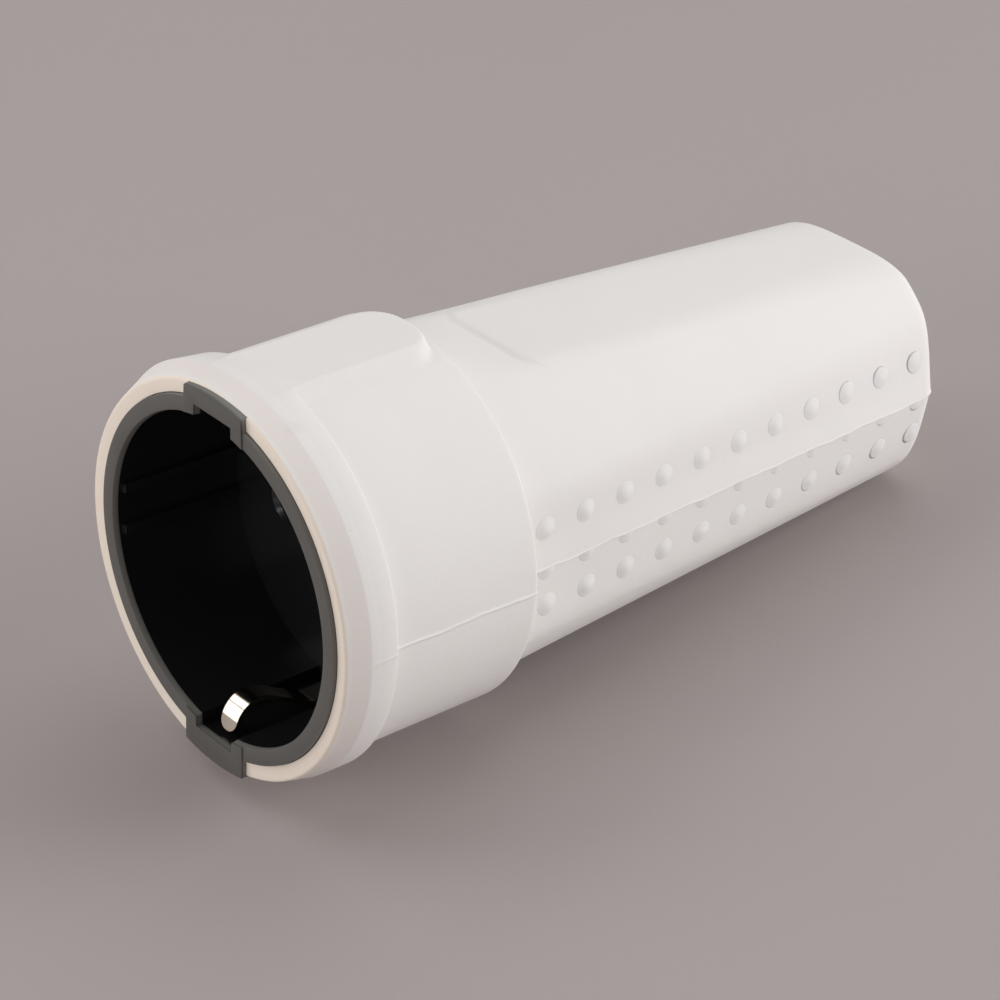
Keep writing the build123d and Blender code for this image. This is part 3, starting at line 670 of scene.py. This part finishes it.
def bump_tree():
    """Geometry nodes that set rows of domes on the two side faces of the handle."""
    tree = bpy.data.node_groups.new("grip_bumps", "GeometryNodeTree")
    face = tree.interface
    face.new_socket("Dome", in_out="INPUT", socket_type="NodeSocketObject")
    face.new_socket("Finish", in_out="INPUT", socket_type="NodeSocketMaterial")
    face.new_socket("Geometry", in_out="OUTPUT", socket_type="NodeSocketGeometry")
    face.new_socket("Columns", in_out="INPUT", socket_type="NodeSocketInt")
    for name in ("First column", "Pitch", "Row height", "Row shift", "Radius", "Rear radius",
                 "Front rise", "Rear rise", "Side width", "Side taper", "Front crown", "Rear crown",
                 "Half ridge", "Face start", "Face length"):
        face.new_socket(name, in_out="INPUT", socket_type="NodeSocketFloat")
    nodes = Nodes(tree)
    node, calc = nodes.node, nodes.calc
    given = node("NodeGroupInput").outputs

    # One point for each bump: six rows (three on each side) of columns
    points = node("GeometryNodePoints", {"Count": calc("MULTIPLY", given["Columns"], 6)})
    index = node("GeometryNodeInputIndex").outputs[0]
    row_of = calc("FLOOR", calc("DIVIDE", calc("ADD", index, 0.5), given["Columns"]))
    column = calc("SUBTRACT", index, calc("MULTIPLY", row_of, given["Columns"]))
    side = calc("SUBTRACT", calc("MULTIPLY", calc("GREATER_THAN", row_of, 2.5), 2), 1)
    row = calc("SUBTRACT", calc("MODULO", row_of, 3), 1)
    x = calc("ADD", given["First column"], calc("MULTIPLY", column, given["Pitch"]))
    x = calc("SUBTRACT", x, calc("MULTIPLY", row, given["Row shift"]))
    z = calc("MULTIPLY", row, given["Row height"])
    along = calc("SUBTRACT", x, given["Face start"])
    share = calc("DIVIDE", along, given["Face length"])
    crown_gain = calc("SUBTRACT", given["Rear crown"], given["Front crown"])
    crown = calc("ADD", given["Front crown"], calc("MULTIPLY", crown_gain, share))
    slope = calc("DIVIDE", crown, given["Half ridge"])
    fall = calc("MULTIPLY", slope, calc("ABSOLUTE", z))
    width = calc("SUBTRACT", given["Side width"], calc("MULTIPLY", given["Side taper"], along))
    y = calc("SUBTRACT", calc("ADD", width, crown), fall)

    # The middle row stands on the ridge, so it is sunk into it
    middle = calc("SUBTRACT", 1, calc("ABSOLUTE", row))
    sunk = calc("MULTIPLY", middle, calc("MULTIPLY", slope, given["Radius"]))
    y = calc("SUBTRACT", y, calc("MULTIPLY", sunk, MIDDLE_ROW_SINK))
    place = node("ShaderNodeCombineXYZ", {0: x, 1: calc("MULTIPLY", y, side), 2: z})
    placed = node("GeometryNodeSetPosition", {
        "Geometry": points.outputs[0], "Position": place.outputs[0]})

    # Each dome's axis points out of its side face
    away = node("ShaderNodeCombineXYZ", {
        0: given["Side taper"], 1: side, 2: calc("MULTIPLY", slope, calc("SIGN", z))})
    turn = node("FunctionNodeAlignRotationToVector", {"Vector": away.outputs[0]}, axis="Z")

    # Domes get lower and smaller towards the rear
    share = calc("DIVIDE", column, given["Columns"])
    rise_gain = calc("SUBTRACT", given["Rear rise"], given["Front rise"])
    rise = calc("ADD", given["Front rise"], calc("MULTIPLY", rise_gain, share))
    radius_gain = calc("SUBTRACT", given["Rear radius"], given["Radius"])
    foot = calc("ADD", given["Radius"], calc("MULTIPLY", radius_gain, share))
    scale = node("ShaderNodeCombineXYZ", {0: foot, 1: foot, 2: rise})
    dome = node("GeometryNodeObjectInfo", {"Object": given["Dome"]})
    copies = node("GeometryNodeInstanceOnPoints", {
        "Points": placed.outputs[0], "Instance": dome.outputs["Geometry"],
        "Rotation": turn.outputs[0], "Scale": scale.outputs[0]})
    real = node("GeometryNodeRealizeInstances", {0: copies.outputs[0]})
    finished = node("GeometryNodeSetMaterial", {
        "Geometry": real.outputs[0], "Material": given["Finish"]})
    node("NodeGroupOutput", {0: finished.outputs[0]})
    return tree


def set_input(modifier, name, value):
    """Sets a geometry nodes modifier's input by its socket's identifier."""
    for item in modifier.node_group.interface.items_tree:
        if item.item_type == "SOCKET" and item.in_out == "INPUT" and item.name == name:
            modifier[item.identifier] = value
            return
    raise KeyError(name)


def plain_mesh(name, source):
    """A plain mesh object from what a source's modifiers make of it."""
    evaluated = source.evaluated_get(bpy.context.evaluated_depsgraph_get())
    data = bpy.data.meshes.new_from_object(evaluated)
    data.name = name
    piece = bpy.data.objects.new(name, data)
    bpy.context.scene.collection.objects.link(piece)
    bpy.data.objects.remove(source)
    return piece


# Materials


class Shader(Nodes):
    """The nodes of a new material."""

    def __init__(self, name):
        self.material = bpy.data.materials.new(name + "_finish")
        self.material.use_nodes = True
        super().__init__(self.material.node_tree)

    def group(self, name, **inputs):
        """Adds a node group and gives its outputs."""
        node = self.node("ShaderNodeGroup", node_tree=bpy.data.node_groups[name])
        for key, value in inputs.items():
            self.set(node.inputs[key.replace("_", " ").capitalize()], value)
        return node.outputs

    def place(self):
        """The place on the model, in its own coordinates."""
        return self.node("ShaderNodeTexCoord").outputs["Object"]

    def bump(self, height, strength, distance):
        """A normal that follows a fine relief."""
        node = self.node("ShaderNodeBump", {
            "Height": height, "Strength": strength, "Distance": distance})
        return node.outputs[0]

    def blend(self, share, first, second):
        """The mix of two colours by a share."""
        pair = [c if isinstance(c, bpy.types.NodeSocket) else (*c, 1) for c in (first, second)]
        node = self.node("ShaderNodeMix", {0: share, 6: pair[0], 7: pair[1]}, data_type="RGBA")
        return node.outputs[2]

    def ramp(self, value, stops):
        """A colour from a value, by (position, colour) stops."""
        node = self.node("ShaderNodeValToRGB", {"Fac": value})
        points = node.color_ramp.elements
        for point, (position, shade) in zip(points, (stops[0], stops[-1])):
            point.position, point.color = position, (*shade, 1)
        for position, shade in stops[1:-1]:
            points.new(position).color = (*shade, 1)
        return node.outputs["Color"]

    def surface(self, inputs):
        """Sets the surface's inputs and gives the material."""
        main = self.tree.nodes["Principled BSDF"]
        for key, value in inputs.items():
            self.set(main.inputs[key], value)
        return self.material


def scaled(values, factor):
    """A colour or a place, times a factor."""
    return [value * factor for value in values]


def shader_group(name, inputs, outputs):
    """A new shader node group: its nodes, what it is given and where its results go."""
    tree = bpy.data.node_groups.new(name, "ShaderNodeTree")
    for label, kind, value in inputs:
        socket = tree.interface.new_socket(label, in_out="INPUT", socket_type=kind)
        if value is not None:
            socket.default_value = value
    for label in outputs:
        tree.interface.new_socket(label, in_out="OUTPUT", socket_type="NodeSocketFloat")
    nodes = Nodes(tree)
    return nodes, nodes.node("NodeGroupInput").outputs, nodes.node("NodeGroupOutput").inputs


def grain_group():
    """Fine moulding grain: a height for a bump, and a mask of faint blotches."""
    nodes, given, results = shader_group(
        "moulding_grain",
        [("Place", "NodeSocketVector", None), ("Grain scale", "NodeSocketFloat", 1800.0),
         ("Blotch scale", "NodeSocketFloat", 90.0)],
        ["Height", "Blotch"])
    for label, detail, result in (("Grain scale", 3.0, "Height"), ("Blotch scale", 5.0, "Blotch")):
        noise = nodes.node("ShaderNodeTexNoise", {
            "Vector": given["Place"], "Scale": given[label], "Detail": detail})
        nodes.set(results[result], noise.outputs["Fac"])


def spot_group():
    """A mask of one small mark: 1 at its centre, falling off unevenly at its edge."""
    nodes, given, results = shader_group(
        "small_mark",
        [("Place", "NodeSocketVector", None), ("Centre", "NodeSocketVector", None),
         ("Radius", "NodeSocketFloat", 0.3 * MM), ("Softness", "NodeSocketFloat", 0.5)],
        ["Mask"])
    warp = nodes.node("ShaderNodeTexNoise", {"Vector": given["Place"], "Scale": 1500.0})
    apart = nodes.node(
        "ShaderNodeVectorMath", {0: given["Place"], 1: given["Centre"]}, operation="DISTANCE")
    size = nodes.calc("DIVIDE", apart.outputs["Value"], given["Radius"])
    uneven = nodes.calc("ADD", size, warp.outputs["Fac"])
    nodes.set(results["Mask"], nodes.spread(uneven, given["Softness"], 1.5, 1.0, 0.0))


def soft_white_material():
    """The sleeve's soft off-white moulding: yellowed beige lip with a painted warm reflection and a
    painted highlight round its edge, faint blotches, specks and scuffs.
    """
    colours = sizes("finish_colours")
    shader = Shader("soft_white")
    place = shader.place()
    grain = shader.group("moulding_grain", place=place)
    x = shader.node("ShaderNodeSeparateXYZ", {"Vector": place}).outputs["X"]
    white = colours.soft_white
    base = shader.blend(grain["Blotch"], white, scaled(white, 0.96))
    # The lip's front takes the lip colour: yellowing with a warm painted reflection in it
    lip = shader.ramp(shader.spread(x, 0.0, LIP_BAND), [
        # Painted highlight: the stop at 0.19 is a ring round the lip's outer edge, brighter than the
        # white
        (0.0, colours.lip_yellowing_and_reflection), (0.13, colours.lip_yellowing_and_reflection), (0.19, scaled(white, 1.03)),
        (0.27, [0.87, 0.80, 0.76]), (0.6, [0.85, 0.79, 0.76]), (0.7, white), (1.0, white)])
    shade = shader.blend(shader.calc("GREATER_THAN", x, LIP_BAND * 0.9), lip, base)
    for centre, radius, strength in MARKS:
        mark = shader.group(
            "small_mark", place=place, centre=scaled(centre, MM), radius=radius * MM)
        faint = shader.calc("MULTIPLY", mark["Mask"], strength)
        shade = shader.blend(faint, shade, colours.mark)
    return shader.surface({
        "Base Color": shade, "Normal": shader.bump(grain["Height"], 0.12, 0.1 * MM),
        "Roughness": 0.68, "Specular IOR Level": 0.35, "Subsurface Weight": 0.12,
        "Subsurface Radius": (1.0, 0.8, 0.6), "Subsurface Scale": 1.2 * MM})


def black_material():
    """The insert's moulding: glossy black in the recess; a painted sheen of grey on the dull rim's face
    and a lighter painted reflection on its chamfer.
    """
    colours = sizes("finish_colours")
    shader = Shader("black_moulding")
    place = shader.place()
    grain = shader.group("moulding_grain", place=place)
    x = shader.node("ShaderNodeSeparateXYZ", {"Vector": place}).outputs["X"]
    depth = shader.spread(x, -0.2 * MM, RIM_BAND)
    # Painted sheen: the rim's face is grey where the black plastic catches light
    rim = colours.rim_sheen_grey
    tint = shader.ramp(depth, [
        # Painted reflection: from 0.2 to 0.7 the rim's chamfer is a lighter grey than its face
        (0.0, rim), (0.16, rim), (0.2, scaled(rim, 1.5)), (0.26, scaled(rim, 1.8)),
        (0.7, scaled(rim, 1.7)), (0.8, colours.black), (1.0, colours.black)])
    faint = shader.calc("MULTIPLY", grain["Blotch"], 0.25)
    return shader.surface({
        "Base Color": shader.blend(faint, tint, colours.black),
        "Roughness": shader.spread(depth, 0.7, 0.85, 0.5, 0.2),
        "Normal": shader.bump(grain["Blotch"], 0.05, 0.2 * MM)})


def plain_moulding_material():
    """The contact carrier's and clamp's dull grey moulding."""
    grey = sizes("finish_colours").carrier_grey
    shader = Shader("grey_moulding")
    grain = shader.group("moulding_grain", place=shader.place(), grain_scale=1200.0)
    return shader.surface({
        "Base Color": shader.blend(grain["Blotch"], grey, scaled(grey, 0.85)),
        "Normal": shader.bump(grain["Height"], 0.2, 0.1 * MM), "Roughness": 0.6})


def metal_material(name, metal, roughness):
    """A metal with a fine drawn grain and faint tarnish."""
    shader = Shader(name)
    grain = shader.group(
        "moulding_grain", place=shader.place(), grain_scale=2500.0, blotch_scale=350.0)
    return shader.surface({
        "Base Color": shader.blend(grain["Blotch"], metal, scaled(metal, 0.82)), "Metallic": 1.0,
        "Roughness": shader.spread(grain["Blotch"], 0.0, 1.0, roughness * 0.8, roughness * 1.25),
        "Normal": shader.bump(grain["Height"], 0.1, 0.03 * MM)})


def finish(name):
    """The finish for a material slot, made on first use."""
    label = name + "_finish"
    if label in bpy.data.materials:
        return bpy.data.materials[label]
    if "moulding_grain" not in bpy.data.node_groups:
        grain_group()
        spot_group()
    colours = sizes("finish_colours")
    made = {
        "soft_white": soft_white_material,
        "black_moulding": black_material,
        "grey_moulding": plain_moulding_material,
        "brass": lambda: metal_material("brass", colours.brass, 0.28),
        "plated_strip": lambda: metal_material("plated_strip", colours.plating, 0.1),
        "spring_steel": lambda: metal_material("spring_steel", colours.spring_steel, 0.35),
        "screw_steel": lambda: metal_material("screw_steel", colours.screw_steel, 0.32),
    }
    return made[name]()


def dress_node(name, material):
    """Gives a CAD node its material and leaves its mesh as it is."""
    node = frame["nodes"][name]
    node.data.materials.clear()
    node.data.materials.append(finish(material))


# Operators


class SOCKET_OT_sleeve(bpy.types.Operator):
    """Make the soft sleeve's skin with its lip, flange, collar, saddles, handle and seam"""

    bl_idname = "socket.sleeve"
    bl_label = "Soft Sleeve"

    def execute(self, context):
        piece = rings_to_mesh("sleeve_skin", sleeve_rings())
        outward(piece)
        smooth_by_angle(piece)
        piece.data.materials.append(finish("soft_white"))
        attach(piece, "root")
        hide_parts("sleeve")
        return {"FINISHED"}


class SOCKET_OT_bumps(bpy.types.Operator):
    """Set three rows of grip bumps on each side face"""

    bl_idname = "socket.bumps"
    bl_label = "Grip Bumps"

    def execute(self, context):
        size, sleeve = sizes("bump_sizes"), sizes("sleeve_sizes")
        dome = bump_dome()
        context.scene.collection.objects.link(dome)
        source = mesh_object("bump_source", [], [])
        modifier = source.modifiers.new("bumps", "NODES")
        modifier.node_group = bump_tree()
        edge = math.sqrt(sleeve.handle_radius**2 - sleeve.side_width**2)
        values = {
            "Dome": dome, "Finish": finish("soft_white"), "Columns": size.columns,
            "First column": COLLAR_END + size.front_gap, "Pitch": size.pitch,
            "Row height": size.row_height, "Row shift": size.row_shift, "Radius": size.radius,
            "Rear radius": size.radius_rear, "Front rise": size.rise_front, "Rear rise": size.rise_rear,
            "Side width": sleeve.side_width, "Side taper": sleeve.side_taper,
            "Front crown": sleeve.crown_front, "Rear crown": sleeve.crown_rear, "Half ridge": edge,
            "Face start": COLLAR_END, "Face length": SLEEVE_LENGTH - COLLAR_END,
        }
        for name, value in values.items():
            set_input(modifier, name, value)
        piece = plain_mesh("grip_bumps", source)
        bpy.data.objects.remove(dome)
        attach(piece, "root")
        return {"FINISHED"}


class SOCKET_OT_insert(bpy.types.Operator):
    """Make the black insert's skin, with its upper tab trimmed and soft front edges"""

    bl_idname = "socket.insert"
    bl_label = "Insert"

    def execute(self, context):
        piece = insert_skin()
        smooth_by_angle(piece)
        piece.data.materials.append(finish("black_moulding"))
        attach(piece, "root")
        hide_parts("socket_cup")
        return {"FINISHED"}


class SOCKET_OT_metalwork(bpy.types.Operator):
    """Finish the contacts, clips, springs, screws, carrier and clamp"""

    bl_idname = "socket.metalwork"
    bl_label = "Metalwork"

    def execute(self, context):
        for subpart in frame["record"]["subparts"]:
            if subpart["node"] not in ("sleeve", "socket_cup"):
                dress_node(subpart["node"], subpart["material_slot"])
        return {"FINISHED"}


class SOCKET_OT_stage(bpy.types.Operator):
    """Set the floor, the lights and the camera"""

    bl_idname = "socket.stage"
    bl_label = "Stage"

    def execute(self, context):
        size = sizes("stage_sizes")
        self.camera(size)
        self.floor(size)
        self.lights(size)
        return {"FINISHED"}

    def camera(self, size):
        data = bpy.data.cameras.new("camera")
        data.lens, data.sensor_width = size.lens, 36.0
        data.shift_x, data.shift_y = size.shift
        data.clip_start, data.clip_end = 0.01, 20
        camera = bpy.data.objects.new("camera", data)
        right, down = np.array(size.camera_right), np.array(size.camera_down)
        view = np.cross(right, down)
        camera.matrix_world = Matrix.Translation(size.camera_place) @ Matrix(
            np.stack([right, -down, -view], axis=1).tolist()).to_4x4()
        bpy.context.scene.collection.objects.link(camera)
        bpy.context.scene.camera = camera

    def floor(self, size):
        reach = size.floor_size
        slope = math.tan(size.floor_tilt)
        corners = [(x, y, size.floor_height + (x - FLOOR_CONTACT) * slope)
                   for x, y in ((-reach, -reach), (reach, -reach), (reach, reach), (-reach, reach))]
        floor = mesh_object("floor", corners, [(0, 1, 2, 3)])
        shader = Shader("floor")
        noise = shader.node(
            "ShaderNodeTexNoise", {"Vector": shader.place(), "Scale": 6.0, "Detail": 3.0})
        pale = size.floor_colour
        tint = shader.blend(noise.outputs["Fac"], pale, scaled(pale, 0.94))
        floor.data.materials.append(shader.surface({"Base Color": tint, "Roughness": 0.9}))

    def lights(self, size):
        world = bpy.data.worlds.new("studio")
        world.use_nodes = True
        background = world.node_tree.nodes["Background"].inputs
        background["Color"].default_value = (1.0, 1.0, 1.0, 1)
        background["Strength"].default_value = size.world_strength
        bpy.context.scene.world = world
        bpy.context.scene.view_settings.view_transform = "Standard"
        centre = Vector((SLEEVE_LENGTH / 2, 0, 0))
        for name, azimuth, elevation, power in LAMPS:
            data = bpy.data.lights.new(name, "AREA")
            data.energy, data.size = power, size.lamp_width
            lamp = bpy.data.objects.new(name, data)
            turn, rise = math.radians(azimuth), math.radians(elevation)
            level = math.cos(rise)
            away = Vector((math.cos(turn) * level, math.sin(turn) * level, math.sin(rise)))
            lamp.location = centre + away * size.lamp_distance
            lamp.rotation_euler = (-away).to_track_quat("-Z", "Y").to_euler()
            bpy.context.scene.collection.objects.link(lamp)


class SOCKET_PT_panel(bpy.types.Panel):
    """Steps that dress the socket"""

    bl_label = "Two-Pole Socket"
    bl_idname = "SOCKET_PT_panel"
    bl_space_type = "VIEW_3D"
    bl_region_type = "UI"
    bl_category = "Socket"

    def draw(self, context):
        for step in STEPS:
            self.layout.operator(step.bl_idname)


STEPS = (SOCKET_OT_stage, SOCKET_OT_sleeve, SOCKET_OT_bumps, SOCKET_OT_insert, SOCKET_OT_metalwork)
GROUPS = {
    "sleeve_sizes": SleeveSizes,
    "saddle_sizes": SaddleSizes,
    "insert_sizes": InsertSizes,
    "bump_sizes": BumpSizes,
    "finish_colours": FinishColours,
    "stage_sizes": StageSizes,
}


def register():
    for part in (*GROUPS.values(), *STEPS, SOCKET_PT_panel):
        bpy.utils.register_class(part)
    for name, group in GROUPS.items():
        setattr(bpy.types.Scene, name, bpy.props.PointerProperty(type=group))


def unregister():
    for name in GROUPS:
        delattr(bpy.types.Scene, name)
    for part in reversed((*GROUPS.values(), *STEPS, SOCKET_PT_panel)):
        bpy.utils.unregister_class(part)


def write_sizes():
    """Brings the scene's view layer up to date."""
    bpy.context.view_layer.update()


def main():
    register()
    bpy.ops.socket.stage()
    bpy.ops.socket.sleeve()
    bpy.ops.socket.bumps()
    bpy.ops.socket.insert()
    bpy.ops.socket.metalwork()
    write_sizes()


if __name__ == "__main__":
    main()
